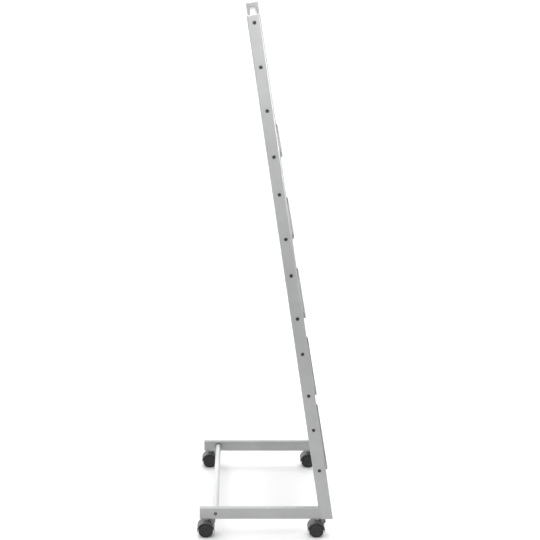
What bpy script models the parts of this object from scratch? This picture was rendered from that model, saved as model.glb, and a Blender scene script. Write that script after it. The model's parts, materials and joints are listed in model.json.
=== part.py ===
"""Mobile leaning display rack: two welded tube side frames, a header panel, five folded
steel trays and four braked twin-wheel casters.

Units are metres, +Z is up and the rack's front faces -Y. The origin is on the floor, under the
middle of the rack's outer box. "left" and "right" are as seen by someone facing the front, so left
is -X. Trays are numbered from the top down.
"""

import math

import bmesh
import bpy
from mathutils import Matrix, Vector

# ------------------------------------------------------------------------ driving dimensions

GAP = 0.0003                  # play left between neighbouring pieces
SHEET = 0.0012                # folded steel sheet
TUBE_WALL = 0.0015
UPRIGHT_CORNER = 0.0060       # outer corner radius
RAIL_CORNER = 0.0040          # outer corner radius

RACK_WIDTH = 0.610            # over the outer faces of the side frames
TUBE_WIDTH = 0.020            # of both frame tubes, along X
UPRIGHT_DEPTH = 0.043         # front to back, square to the upright
UPRIGHT_TOP = 1.700           # along the upright, from the bottom of its centre line
LEAN = math.radians(8.75)     # the uprights lean back by this much
FOOT_LENGTH = 0.450           # toe of the upright to the rear end of the base rail
RAIL_HEIGHT = 0.040
RAIL_BOTTOM = 0.063           # the whole height of a caster

LOWEST_TRAY_SCREW = 0.179     # along the upright, as are the next ones
TRAY_PITCH = 0.2693
TRAY_SCREW_SPACING = 0.147    # lower to upper screw of one tray
HEADER_SCREW_SPACING = 0.1374  # top tray screw to header screw, and header screw to crossbar screw
TRAY_COUNT = 5

TRAY_BACK = 0.0170            # back sheet, behind the uprights' centre line
TRAY_FLOOR_FRONT = 0.0275     # front edge of the floor, ahead of the centre line
TRAY_LIP_FRONT = 0.0285       # top edge of the front lip, ahead of the centre line
TRAY_LIP_ABOVE_SCREW = 0.0060
TRAY_FLOOR_BELOW_SCREW = 0.0070
TRAY_TOP_ABOVE_SCREW = 0.0150
TRAY_EAR_FRONT = 0.0100       # front edge of the side flange above the lip
TRAY_EAR_RISE = 0.0300        # height over which the side flange narrows above the lip

CROSSBAR_SIZE = 0.020         # square tube at the top
REAR_BAR_RADIUS = 0.010
REAR_BAR_INSET = 0.052        # from the rear end of the rails
END_RING_RADIUS = 0.012
END_RING_WIDTH = 0.004
INSERT_LENGTH = 0.015         # threaded inserts in the ends of both crossbars
HEADER_BOTTOM = 1.426
HEADER_TOP = 1.6925
HEADER_FLANGE_TOP = 1.650
HEADER_FLANGE_DEPTH = 0.022
PLUG_DEPTH = 0.012
PLUG_CAP = 0.0016

SCREW_RADIUS = 0.0025
HOLE_RADIUS = 0.0031          # over the corners of an eight-sided clearance hole
SCREW_HEAD_RADIUS = 0.0058
SCREW_HEAD_HEIGHT = 0.0030
SIDE_SCREW_LENGTH = 0.0285
REAR_SCREW_LENGTH = 0.0360
NUT_RADIUS = 0.0046           # over the corners of the hexagon
NUT_THICKNESS = 0.0040
TIE_THICKNESS = 0.0010        # strip that joins the tray screws of one side
TIE_WIDTH = 0.0040

WHEEL_RADIUS = 0.025
WHEEL_WIDTH = 0.016
WEB_HALF = 0.006              # half the thickness of the caster housing's middle web
WHEEL_GAP = 0.0007            # web to wheel
AXLE_RADIUS = 0.0030
AXLE_HALF = 0.0192
WHEEL_BORE_DEPTH = 0.0130
HOOD_RADIUS = 0.0295
HOOD_THICKNESS = 0.0022
HOOD_SKIRT = 0.004            # the hood ends this far below the axle
BOSS_RADIUS = 0.009
BOSS_TOP = RAIL_BOTTOM - 0.0038
TRAIL = 0.004                 # the axle is this far behind the swivel axis
REAR_WHEEL_INSET = 0.019      # axle to the rear end of the rail
FRONT_WHEEL_INSET = 0.056     # axle to the toe of the upright
STEM_RADIUS = 0.0039
STEM_RING_RADIUS = 0.0047
COLLAR_RADIUS = 0.0080
COLLAR_HEIGHT = 0.0026
SOCKET_RADIUS = 0.0060
SOCKET_HEIGHT = 0.0100

LEVER_PIVOT_RADIUS = 0.030    # axle to the brake lever's pivot
LEVER_PIVOT_ANGLE = math.radians(50)   # above the horizontal, at the front of the caster
LEVER_HALF = 0.0137
LEVER_BARREL = 0.0035
LEVER_TAB_ANGLE = math.radians(21)     # the tab rises forwards by this much
PEG_RADIUS = 0.0017
EAR_RADIUS = 0.0045
EAR_THICKNESS = 0.0032

ROUND_SEGMENTS = 20
SMALL_SEGMENTS = 10
HOOD_SEGMENTS = 24
HOLE_SEGMENTS = 8

# ------------------------------------------------------------------------- worked-out values

HALF_WIDTH = RACK_WIDTH / 2
INNER_HALF = HALF_WIDTH - TUBE_WIDTH
TUBE_CENTRE = HALF_WIDTH - TUBE_WIDTH / 2
FULL_DEPTH = FOOT_LENGTH + HOOD_RADIUS - REAR_WHEEL_INSET
TOE_Y = -FULL_DEPTH / 2
RAIL_END_Y = TOE_Y + FOOT_LENGTH
UPRIGHT_FOOT_Y = TOE_Y + UPRIGHT_DEPTH / 2 / math.cos(LEAN)
RAIL_CENTRE_Z = RAIL_BOTTOM + RAIL_HEIGHT / 2
REAR_BAR_Y = RAIL_END_Y - REAR_BAR_INSET

LOWER_SCREWS = [LOWEST_TRAY_SCREW + TRAY_PITCH * (TRAY_COUNT - 1 - i) for i in range(TRAY_COUNT)]
UPPER_SCREWS = [s + TRAY_SCREW_SPACING for s in LOWER_SCREWS]
HEADER_SCREW = UPPER_SCREWS[0] + HEADER_SCREW_SPACING
CROSSBAR_SCREW = HEADER_SCREW + HEADER_SCREW_SPACING
SIDE_SCREWS = LOWER_SCREWS + UPPER_SCREWS + [HEADER_SCREW, CROSSBAR_SCREW]

SIDES = {"left": -1, "right": 1}
CASTER_Y = {"front": TOE_Y + FRONT_WHEEL_INSET, "rear": RAIL_END_Y - REAR_WHEEL_INSET}

# ---------------------------------------------------------------------------- scene helpers

for old in list(bpy.data.objects):
    bpy.data.objects.remove(old, do_unlink=True)


def collection(name):
    made = bpy.data.collections.new(name)
    bpy.context.scene.collection.children.link(made)
    return made


PARTS = collection("rolling_display_rack")
CUTTERS = collection("cutters")


def material(name, colour, roughness, metallic):
    made = bpy.data.materials.new(name)
    made.use_nodes = True
    shader = made.node_tree.nodes["Principled BSDF"]
    shader.inputs["Base Color"].default_value = (*colour, 1.0)
    shader.inputs["Roughness"].default_value = roughness
    shader.inputs["Metallic"].default_value = metallic
    return made


SILVER_PAINT = material("silver_paint", (0.56, 0.57, 0.58), 0.45, 0.35)
WHITE_STEEL = material("white_steel", (0.86, 0.87, 0.87), 0.25, 0.0)
BLACK_PLASTIC = material("black_plastic", (0.028, 0.028, 0.030), 0.45, 0.0)
BLACK_TREAD = material("black_tread", (0.020, 0.020, 0.021), 0.60, 0.0)
GREY_PLASTIC = material("grey_plastic", (0.50, 0.51, 0.52), 0.50, 0.0)
BLACK_STEEL = material("black_steel", (0.045, 0.045, 0.048), 0.40, 0.8)
ZINC_STEEL = material("zinc_steel", (0.62, 0.63, 0.65), 0.35, 1.0)


def empty(name, location, rotation=(0, 0, 0)):
    made = bpy.data.objects.new(name, None)
    made.location = location
    made.rotation_euler = rotation
    PARTS.objects.link(made)
    return made


LEANING = empty("leaning_frame", (0, UPRIGHT_FOOT_Y, RAIL_BOTTOM), (-LEAN, 0, 0))


def clean(mesh):
    """Welds a mesh's loose caps and turns its faces outwards."""
    work = bmesh.new()
    work.from_mesh(mesh)
    bmesh.ops.remove_doubles(work, verts=work.verts, dist=1e-6)
    bmesh.ops.recalc_face_normals(work, faces=work.faces)
    work.to_mesh(mesh)
    work.free()
    mesh.shade_smooth()
    mesh.set_sharp_from_angle(angle=math.radians(30))


def evaluated_mesh(obj):
    """A clean mesh of an object with its modifiers, in the object's own space."""
    bpy.context.view_layer.update()
    graph = bpy.context.evaluated_depsgraph_get()
    mesh = bpy.data.meshes.new_from_object(obj.evaluated_get(graph))
    clean(mesh)
    return mesh


def place(name, mesh, look, location=(0, 0, 0), rotation=(0, 0, 0), parent=None):
    """A part in its collection, or a cutter if it has no look."""
    made = bpy.data.objects.new(name, mesh)
    made.location = location
    made.rotation_euler = rotation
    made.parent = parent
    if look is None:
        CUTTERS.objects.link(made)
        made.hide_render = True
        made.display_type = "WIRE"
    else:
        PARTS.objects.link(made)
        mesh.materials.clear()
        mesh.materials.append(look)
    return made


def boolean(target, tool, operation="DIFFERENCE"):
    made = target.modifiers.new(tool.name, "BOOLEAN")
    made.operation = operation
    made.object = tool
    made.solver = "EXACT"


# ---------------------------------------------------------------------------- mesh builders


def box_mesh(size, corner=0.0, corner_axis=2):
    """A box about its own centre; the edges along one axis are rounded."""
    bpy.ops.mesh.primitive_cube_add(size=1)
    cube = bpy.context.object
    cube.data.transform(Matrix.Diagonal((*size, 1)))
    if corner:
        work = bmesh.new()
        work.from_mesh(cube.data)
        long_edges = []
        for edge in work.edges:
            run = edge.verts[1].co - edge.verts[0].co
            if abs(run[corner_axis]) > 0.5 * size[corner_axis]:
                long_edges.append(edge)
        bmesh.ops.bevel(work, geom=long_edges, offset=corner, segments=3, affect="EDGES",
                        profile=0.5, clamp_overlap=True)
        work.to_mesh(cube.data)
        work.free()
    mesh = evaluated_mesh(cube)
    bpy.data.objects.remove(cube, do_unlink=True)
    return mesh


def cylinder_mesh(radius, length, axis="Z", segments=ROUND_SEGMENTS):
    """A capped cylinder about its own centre, along the named axis."""
    bpy.ops.mesh.primitive_cylinder_add(vertices=segments, radius=radius, depth=length)
    made = bpy.context.object
    turn = {"X": Matrix.Rotation(math.pi / 2, 4, "Y"), "Z": Matrix.Identity(4)}[axis]
    made.data.transform(turn)
    mesh = evaluated_mesh(made)
    bpy.data.objects.remove(made, do_unlink=True)
    return mesh


def turned_mesh(profile, ring=False, axis="Z", segments=ROUND_SEGMENTS):
    """A solid of revolution. The profile holds (radius, height) points, running from the top down
    the outer side; a ring's profile is closed, and any other one starts and ends on the axis."""
    mesh = bpy.data.meshes.new("profile")
    points = [Vector((r, 0, h)) for r, h in profile]
    edges = [(i, i + 1) for i in range(len(points) - 1)]
    if ring:
        edges.append((len(points) - 1, 0))
    mesh.from_pydata(points, edges, [])
    holder = bpy.data.objects.new("profile", mesh)
    CUTTERS.objects.link(holder)
    screw = holder.modifiers.new("turn", "SCREW")
    screw.steps = segments
    screw.render_steps = segments
    screw.use_merge_vertices = True
    screw.merge_threshold = 1e-5
    solid = evaluated_mesh(holder)
    bpy.data.objects.remove(holder, do_unlink=True)
    if axis == "X":
        solid.transform(Matrix.Rotation(math.pi / 2, 4, "Y"))
    return solid


def outline_mesh(points, width):
    """A flat outline in the YZ plane, drawn as (y, z) points, with that width along X."""
    curve = bpy.data.curves.new("outline", "CURVE")
    curve.dimensions = "2D"
    curve.fill_mode = "BOTH"
    curve.extrude = width / 2
    spline = curve.splines.new("POLY")
    spline.points.add(len(points) - 1)
    for point, (y, z) in zip(spline.points, points):
        point.co = (y, z, 0, 1)
    spline.use_cyclic_u = True
    holder = bpy.data.objects.new("outline", curve)
    CUTTERS.objects.link(holder)
    mesh = evaluated_mesh(holder)
    bpy.data.objects.remove(holder, do_unlink=True)
    mesh.transform(Matrix(((0, 0, 1, 0), (1, 0, 0, 0), (0, 1, 0, 0), (0, 0, 0, 1))))
    return mesh


def repeated_mesh(name, template, matrices):
    """One mesh of separate copies of a template."""
    work = bmesh.new()
    for matrix in matrices:
        copy = template.copy()
        copy.transform(matrix)
        work.from_mesh(copy)
        bpy.data.meshes.remove(copy)
    mesh = bpy.data.meshes.new(name)
    work.to_mesh(mesh)
    work.free()
    clean(mesh)
    return mesh


def across(side):
    """Turns a piece drawn along +Z so that it points out of the left or the right side."""
    return Matrix.Rotation(side * math.pi / 2, 4, "Y")


# ------------------------------------------------------------------------------- side frames


def screw_holes(name, side, heights):
    """Clearance holes through both walls of an upright."""
    drill = cylinder_mesh(HOLE_RADIUS, TUBE_WIDTH * 2, "X", HOLE_SEGMENTS)
    spots = [Matrix.Translation((side * TUBE_CENTRE, 0, s)) for s in heights]
    return place(name, repeated_mesh(name, drill, spots), None, parent=LEANING)


def upright(label, side):
    """A hollow tube, square at the top and cut level with the floor at the bottom."""
    spare = 0.03
    height = UPRIGHT_TOP + spare
    middle = (side * TUBE_CENTRE, 0, (UPRIGHT_TOP - spare) / 2)
    size = (TUBE_WIDTH, UPRIGHT_DEPTH, height)
    tube = place(f"{label}_upright", box_mesh(size, UPRIGHT_CORNER), SILVER_PAINT, middle,
                 parent=LEANING)
    hollow = (TUBE_WIDTH - 2 * TUBE_WALL, UPRIGHT_DEPTH - 2 * TUBE_WALL, height + 0.02)
    inside = place(f"{label}_upright_inside", box_mesh(hollow, UPRIGHT_CORNER - TUBE_WALL),
                   None, middle, parent=LEANING)
    ground = (side * TUBE_CENTRE, UPRIGHT_FOOT_Y, RAIL_BOTTOM - 0.05)
    level = place(f"{label}_upright_level", box_mesh((0.1, 0.2, 0.1)), None, ground)
    boolean(tube, inside)
    boolean(tube, level)
    boolean(tube, screw_holes(f"{label}_upright_holes", side, SIDE_SCREWS))
    return tube


def base_rail(label, side):
    """A hollow tube from the back of the upright to the rear, mitred to the upright's lean."""
    front = TOE_Y + UPRIGHT_DEPTH / 2
    length = RAIL_END_Y - front
    middle = (side * TUBE_CENTRE, front + length / 2, RAIL_CENTRE_Z)
    size = (TUBE_WIDTH, length, RAIL_HEIGHT)
    rail = place(f"{label}_base_rail", box_mesh(size, RAIL_CORNER, 1), SILVER_PAINT, middle)
    hollow = (TUBE_WIDTH - 2 * TUBE_WALL, length + 0.02, RAIL_HEIGHT - 2 * TUBE_WALL)
    inside = place(f"{label}_base_rail_inside", box_mesh(hollow, RAIL_CORNER - TUBE_WALL, 1),
                   None, middle)
    mitre_depth = UPRIGHT_DEPTH + 2 * GAP
    mitre = place(f"{label}_base_rail_mitre", box_mesh((0.1, mitre_depth, 0.3)), None,
                  (side * TUBE_CENTRE, 0, 0.05), parent=LEANING)
    bolt = place(f"{label}_base_rail_bolt_hole",
                 cylinder_mesh(HOLE_RADIUS, TUBE_WIDTH * 2, "X", HOLE_SEGMENTS), None,
                 (side * TUBE_CENTRE, REAR_BAR_Y, RAIL_CENTRE_Z))
    drill = cylinder_mesh(STEM_RADIUS + GAP, 0.01, "Z", SMALL_SEGMENTS)
    spots = [Matrix.Translation((side * TUBE_CENTRE, y - TRAIL, RAIL_BOTTOM))
             for y in CASTER_Y.values()]
    name = f"{label}_base_rail_stem_holes"
    stems = place(name, repeated_mesh(name, drill, spots), None)
    for tool in (inside, mitre, bolt, stems):
        boolean(rail, tool)
    return rail


def end_plug(name, size, corner, location, rotation, parent=None):
    """A plastic plug: a flush cap on a shorter body that fits inside the tube."""
    width, depth = size
    loose = 2 * (TUBE_WALL + GAP)
    cap = box_mesh((width, depth, PLUG_CAP), corner)
    body = box_mesh((width - loose, depth - loose, PLUG_DEPTH), corner - TUBE_WALL)
    body.transform(Matrix.Translation((0, 0, -PLUG_DEPTH / 2)))
    plug = place(name, cap, GREY_PLASTIC, location, rotation, parent)
    tongue = place(f"{name}_body", body, None, location, rotation, parent)
    boolean(plug, tongue, "UNION")
    return plug


def side_plugs(label, side):
    top = (side * TUBE_CENTRE, 0, UPRIGHT_TOP + GAP + PLUG_CAP / 2)
    end_plug(f"{label}_upright_plug", (TUBE_WIDTH, UPRIGHT_DEPTH), UPRIGHT_CORNER, top,
             (0, 0, 0), LEANING)
    rear = (side * TUBE_CENTRE, RAIL_END_Y + GAP + PLUG_CAP / 2, RAIL_CENTRE_Z)
    end_plug(f"{label}_rail_plug", (TUBE_WIDTH, RAIL_HEIGHT), RAIL_CORNER, rear,
             (-math.pi / 2, 0, 0))


# ------------------------------------------------------------- crossbars, header and fasteners


def top_crossbar():
    """A square tube between the tops of the uprights, with a threaded insert in each end."""
    half = INNER_HALF - GAP
    middle = (0, 0, CROSSBAR_SCREW)
    size = (2 * half, CROSSBAR_SIZE, CROSSBAR_SIZE)
    bore = CROSSBAR_SIZE - 2 * TUBE_WALL
    bar = place("top_crossbar", box_mesh(size, 0.002, 0), SILVER_PAINT, middle, parent=LEANING)
    inside = place("top_crossbar_inside", box_mesh((2 * half + 0.02, bore, bore)), None, middle,
                   parent=LEANING)
    boolean(bar, inside)
    block = box_mesh((INSERT_LENGTH, bore - 2 * GAP, bore - 2 * GAP))
    for label, side in SIDES.items():
        spot = (side * (half - INSERT_LENGTH / 2), 0, CROSSBAR_SCREW)
        insert = place(f"{label}_top_crossbar_insert", block.copy(), GREY_PLASTIC, spot,
                       parent=LEANING)
        boolean(insert, cross_drill(f"{label}_top_crossbar_drill", CROSSBAR_SCREW))


def rear_crossbar():
    """A round tube between the rails, with an insert and a ring at each end."""
    half = INNER_HALF - GAP
    middle = (0, REAR_BAR_Y, RAIL_CENTRE_Z)
    bore = REAR_BAR_RADIUS - TUBE_WALL
    tube = [(REAR_BAR_RADIUS, half), (REAR_BAR_RADIUS, -half), (bore, -half), (bore, half)]
    place("rear_crossbar", turned_mesh(tube, ring=True, axis="X"), SILVER_PAINT, middle)

    hole = HOLE_RADIUS
    outside = bore - GAP
    length = INSERT_LENGTH / 2
    insert = [(outside, length), (outside, -length), (hole, -length), (hole, length)]
    inner = REAR_BAR_RADIUS + GAP
    width = END_RING_WIDTH / 2
    soft = 0.001
    ring = [(END_RING_RADIUS - soft, width), (END_RING_RADIUS, width - soft),
            (END_RING_RADIUS, -width + soft), (END_RING_RADIUS - soft, -width),
            (inner, -width), (inner, width)]
    for label, side in SIDES.items():
        mesh = turned_mesh(insert, ring=True, axis="X", segments=SMALL_SEGMENTS)
        spot = (side * (half - length), REAR_BAR_Y, RAIL_CENTRE_Z)
        place(f"{label}_rear_crossbar_insert", mesh, GREY_PLASTIC, spot)
        mesh = turned_mesh(ring, ring=True, axis="X")
        spot = (side * (half - width), REAR_BAR_Y, RAIL_CENTRE_Z)
        place(f"{label}_rear_crossbar_ring", mesh, BLACK_PLASTIC, spot)


def header_panel():
    """A flat sheet in front of the top crossbar, with a flange folded back at each side."""
    half = INNER_HALF - GAP
    face_y = -(CROSSBAR_SIZE / 2 + GAP + SHEET / 2)
    face_size = (2 * half, SHEET, HEADER_TOP - HEADER_BOTTOM)
    middle = (0, face_y, (HEADER_TOP + HEADER_BOTTOM) / 2)
    panel = place("header_panel", box_mesh(face_size), WHITE_STEEL, middle, parent=LEANING)
    flange = box_mesh((SHEET, HEADER_FLANGE_DEPTH, HEADER_FLANGE_TOP - HEADER_BOTTOM))
    flange_y = face_y - SHEET / 2 + HEADER_FLANGE_DEPTH / 2
    flange_z = (HEADER_FLANGE_TOP + HEADER_BOTTOM) / 2
    for label, side in SIDES.items():
        spot = (side * (half - SHEET / 2), flange_y, flange_z)
        piece = place(f"header_flange_{label}", flange.copy(), None, spot, parent=LEANING)
        boolean(panel, piece, "UNION")
    boolean(panel, weld_nuts("header_nuts", [HEADER_SCREW]), "UNION")
    boolean(panel, cross_drill("header_drill", HEADER_SCREW))


def screw_mesh(length):
    """A pan-head screw along +Z, its head's underside at the origin."""
    edge = SCREW_HEAD_RADIUS
    profile = [(0, SCREW_HEAD_HEIGHT), (edge * 0.72, SCREW_HEAD_HEIGHT),
               (edge, SCREW_HEAD_HEIGHT * 0.45), (edge, 0), (SCREW_RADIUS, 0),
               (SCREW_RADIUS, -length), (0, -length)]
    return turned_mesh(profile, segments=HOLE_SEGMENTS)


def cross_drill(name, height):
    """A screw's clearance hole through everything between the uprights, as a cutter."""
    drill = cylinder_mesh(HOLE_RADIUS, RACK_WIDTH, "X", HOLE_SEGMENTS)
    return place(name, drill, None, (0, 0, height), parent=LEANING)


def weld_nuts(name, heights):
    """Blanks of the nuts welded inside a sheet's side flanges, to be joined and drilled."""
    sunk = SHEET / 2
    nut = cylinder_mesh(NUT_RADIUS, NUT_THICKNESS + sunk, "X", 6)
    offset = INNER_HALF - GAP - SHEET + sunk - (NUT_THICKNESS + sunk) / 2
    spots = []
    for side in SIDES.values():
        for height in heights:
            spots.append(Matrix.Translation((side * offset, 0, height)))
    return place(name, repeated_mesh(name, nut, spots), None, parent=LEANING)


def side_fasteners(label, side):
    """The screws down one side. The ten that hold the trays are one piece: a thin tie strip
    inside the upright joins them."""
    head = side * (HALF_WIDTH + GAP)
    for word, height in (("header", HEADER_SCREW), ("top_crossbar", CROSSBAR_SCREW)):
        mesh = screw_mesh(SIDE_SCREW_LENGTH)
        mesh.transform(across(side))
        place(f"{label}_{word}_screw", mesh, BLACK_STEEL, (head, 0, height), parent=LEANING)
    heights = LOWER_SCREWS + UPPER_SCREWS
    spots = [Matrix.Translation((head, 0, s)) @ across(side) for s in heights]
    name = f"{label}_tray_screws"
    first = min(heights)
    last = max(heights)
    strip = box_mesh((TIE_THICKNESS, TIE_WIDTH, last - first))
    tie_at = (side * TUBE_CENTRE, 0, (first + last) / 2)
    tie = place(name, strip, BLACK_STEEL, tie_at, parent=LEANING)
    screws = repeated_mesh(name, screw_mesh(SIDE_SCREW_LENGTH), spots)
    boolean(tie, place(f"{name}_set", screws, None, parent=LEANING), "UNION")
    mesh = screw_mesh(REAR_SCREW_LENGTH)
    mesh.transform(across(side))
    place(f"{label}_rear_crossbar_screw", mesh, BLACK_STEEL, (head, REAR_BAR_Y, RAIL_CENTRE_Z))


# ------------------------------------------------------------------------------------- trays


def tray(number, lower_screw):
    """One folded sheet: a back, a floor, a low front lip that leans out, and two side flanges.

    It is cut from a prism of its outer side view by a prism of its inner one, which runs out
    through the top and the front. In both, +Y is to the rear and +Z is up the upright."""
    half = INNER_HALF - GAP
    floor = lower_screw - TRAY_FLOOR_BELOW_SCREW
    lip = lower_screw + TRAY_LIP_ABOVE_SCREW
    top = lower_screw + TRAY_SCREW_SPACING + TRAY_TOP_ABOVE_SCREW
    outer = [(TRAY_BACK, floor), (TRAY_BACK, top), (-TRAY_EAR_FRONT, top),
             (-TRAY_EAR_FRONT, lip + TRAY_EAR_RISE), (-TRAY_LIP_FRONT, lip),
             (-TRAY_FLOOR_FRONT, floor)]
    slope = (TRAY_LIP_FRONT - TRAY_FLOOR_FRONT) / (lip - floor)
    shift = SHEET * math.sqrt(1 + slope * slope)
    low = floor + SHEET
    high = top + 0.02
    inner_back = TRAY_BACK - SHEET

    def lip_inside(z):
        return -(TRAY_FLOOR_FRONT + slope * (z - floor)) + shift

    inner = [(inner_back, low), (inner_back, high), (lip_inside(high), high),
             (lip_inside(low), low)]
    name = f"tray_{number}"
    body = place(name, outline_mesh(outer, 2 * half), SILVER_PAINT, parent=LEANING)
    pocket = place(f"{name}_pocket", outline_mesh(inner, 2 * (half - SHEET)), None,
                   parent=LEANING)
    boolean(body, pocket)
    heights = [lower_screw, lower_screw + TRAY_SCREW_SPACING]
    boolean(body, weld_nuts(f"{name}_nuts", heights), "UNION")
    for height, word in zip(heights, ("lower", "upper")):
        boolean(body, cross_drill(f"{name}_{word}_drill", height))


# ----------------------------------------------------------------------------------- casters


def lever_outline():
    """The brake lever's side view about its pivot: a barrel with a small cam nose, and a tab
    with an upturned tip. Distances are along the tab and square to it."""
    lower = [(0.0028, -0.0016), (0.0125, -0.0012), (0.0140, 0.0006), (0.0142, 0.0034)]
    upper = [(0.0128, 0.0036), (0.0114, 0.0019), (0.0030, 0.0019)]
    nose_degrees = 232
    nose_radius = 0.0045
    barrel = []
    for degrees in (60, 90, 120, 150, 180, 210, nose_degrees, 254, 284, 310):
        radius = nose_radius if degrees == nose_degrees else LEVER_BARREL
        angle = math.radians(degrees)
        barrel.append((radius * math.cos(angle), radius * math.sin(angle)))
    along = Vector((-math.cos(LEVER_TAB_ANGLE), math.sin(LEVER_TAB_ANGLE)))
    square = Vector((math.sin(LEVER_TAB_ANGLE), math.cos(LEVER_TAB_ANGLE)))
    return [tuple(along * a + square * b) for a, b in lower + upper + barrel]


def wheel_mesh():
    """A wheel with rounded shoulders and a blind bore in its inner face."""
    r = WHEEL_RADIUS
    w = WHEEL_WIDTH
    bore = AXLE_RADIUS + GAP
    profile = [(0, w), (r - 0.0022, w), (r, w - 0.0024), (r, 0.0020), (r - 0.0020, 0),
               (bore, 0), (bore, WHEEL_BORE_DEPTH), (0, WHEEL_BORE_DEPTH)]
    return turned_mesh(profile)


def stem_mesh():
    """A caster's stem about the underside of the rail: thread, collar, neck and snap ring."""
    top = TUBE_WALL + GAP + SOCKET_HEIGHT
    collar_bottom = -GAP - COLLAR_HEIGHT
    ring_top = -0.0205
    ring_bottom = -0.0225
    foot = -0.0255
    r = STEM_RADIUS
    profile = [(0, top), (r, top), (r, -GAP), (COLLAR_RADIUS, -GAP),
               (COLLAR_RADIUS, collar_bottom), (r, collar_bottom), (r, ring_top),
               (STEM_RING_RADIUS, ring_top), (STEM_RING_RADIUS, ring_bottom), (r, ring_bottom),
               (r, foot), (0, foot)]
    return turned_mesh(profile, segments=SMALL_SEGMENTS)


def stem_bore_mesh():
    """The bore for the stem in a housing, with room for the snap ring, open at the top."""
    r = STEM_RADIUS + GAP
    ring = STEM_RING_RADIUS + GAP
    profile = [(0, 0.01), (r, 0.01), (r, -0.0200), (ring, -0.0200), (ring, -0.0230),
               (r, -0.0230), (r, -0.0260), (0, -0.0260)]
    return turned_mesh(profile, segments=SMALL_SEGMENTS)


def housing(name, pivot, axle):
    """A hooded housing: an arched guard over both wheels, a middle web, a boss for the stem,
    and two ears that hold the brake lever."""
    hood_width = 2 * (WEB_HALF + WHEEL_GAP + WHEEL_WIDTH) + 0.0006
    drum = cylinder_mesh(HOOD_RADIUS, hood_width, "X", HOOD_SEGMENTS)
    guard = place(name, drum, BLACK_PLASTIC, axle, parent=pivot)

    def tool(suffix, mesh, location, rotation=(0, 0, 0)):
        return place(f"{name}_{suffix}", mesh, None, location, rotation, pivot)

    inner = HOOD_RADIUS - HOOD_THICKNESS
    boolean(guard, tool("arch", cylinder_mesh(inner, 0.1, "X", HOOD_SEGMENTS), axle))
    web = cylinder_mesh(inner + HOOD_THICKNESS / 2, 2 * WEB_HALF, "X", HOOD_SEGMENTS)
    boolean(guard, tool("web", web, axle), "UNION")
    boss_bottom = WHEEL_RADIUS * 2 + 0.0012
    boss = cylinder_mesh(BOSS_RADIUS, BOSS_TOP - boss_bottom, "Z", ROUND_SEGMENTS)
    boss_z = (BOSS_TOP + boss_bottom) / 2 - RAIL_BOTTOM
    boolean(guard, tool("boss", boss, (0, 0, boss_z)), "UNION")
    lever_at = lever_pivot(axle)
    ear = cylinder_mesh(EAR_RADIUS, EAR_THICKNESS, "X", SMALL_SEGMENTS)
    ear_x = LEVER_HALF + GAP + EAR_THICKNESS / 2
    spots = [Matrix.Translation((side * ear_x, 0, 0)) for side in SIDES.values()]
    ears = tool("ears", repeated_mesh(f"{name}_ears", ear, spots), lever_at)
    boolean(guard, ears, "UNION")
    below = axle - Vector((0, 0, HOOD_SKIRT + 0.05))
    boolean(guard, tool("below", box_mesh((0.1, 0.1, 0.1)), below))
    slot_floor = WHEEL_RADIUS + 0.0002
    slot_height = 0.016
    reach = Vector((0, -math.cos(LEVER_PIVOT_ANGLE), math.sin(LEVER_PIVOT_ANGLE)))
    slot = box_mesh((2 * (LEVER_HALF + GAP), 0.0104, slot_height))
    slot_at = axle + reach * (slot_floor + slot_height / 2)
    boolean(guard, tool("slot", slot, slot_at, (math.pi / 2 - LEVER_PIVOT_ANGLE, 0, 0)))
    peg_hole = cylinder_mesh(PEG_RADIUS + GAP, 0.06, "X", SMALL_SEGMENTS)
    boolean(guard, tool("peg_hole", peg_hole, lever_at))
    axle_hole = cylinder_mesh(AXLE_RADIUS + GAP, 0.06, "X", SMALL_SEGMENTS)
    boolean(guard, tool("axle_hole", axle_hole, axle))
    boolean(guard, tool("stem_bore", stem_bore_mesh(), (0, 0, 0)))


def lever_pivot(axle):
    reach = Vector((0, -math.cos(LEVER_PIVOT_ANGLE), math.sin(LEVER_PIVOT_ANGLE)))
    return axle + reach * LEVER_PIVOT_RADIUS


def caster(name, x, y):
    """One caster. Its empty is on the swivel axis, at the underside of the rail."""
    pivot = empty(name, (x, y - TRAIL, RAIL_BOTTOM))
    axle = Vector((0, TRAIL, WHEEL_RADIUS - RAIL_BOTTOM))
    place(f"{name}_stem", stem_mesh(), ZINC_STEEL, parent=pivot)
    housing(f"{name}_housing", pivot, axle)
    place(f"{name}_axle", cylinder_mesh(AXLE_RADIUS, 2 * AXLE_HALF, "X", SMALL_SEGMENTS),
          ZINC_STEEL, axle, parent=pivot)
    for label, side in SIDES.items():
        spot = axle + Vector((side * (WEB_HALF + WHEEL_GAP), 0, 0))
        place(f"{name}_{label}_wheel", wheel_mesh(), BLACK_TREAD, spot,
              (0, side * math.pi / 2, 0), pivot)
    lever = place(f"{name}_brake_lever", outline_mesh(lever_outline(), 2 * LEVER_HALF),
                  BLACK_PLASTIC, lever_pivot(axle), parent=pivot)
    peg = cylinder_mesh(PEG_RADIUS, 2 * (LEVER_HALF + EAR_THICKNESS), "X", SMALL_SEGMENTS)
    pegs = place(f"{name}_lever_pegs", peg, None, lever_pivot(axle), parent=pivot)
    boolean(lever, pegs, "UNION")


def caster_socket(name, x, y):
    """The threaded socket inside a rail that a caster's stem screws into."""
    half = SOCKET_HEIGHT / 2
    hole = STEM_RADIUS + GAP
    profile = [(SOCKET_RADIUS, half), (SOCKET_RADIUS, -half), (hole, -half), (hole, half)]
    mesh = turned_mesh(profile, ring=True, segments=SMALL_SEGMENTS)
    place(name, mesh, ZINC_STEEL, (x, y - TRAIL, RAIL_BOTTOM + TUBE_WALL + GAP + half))


# ---------------------------------------------------------------------------------- assembly

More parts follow.
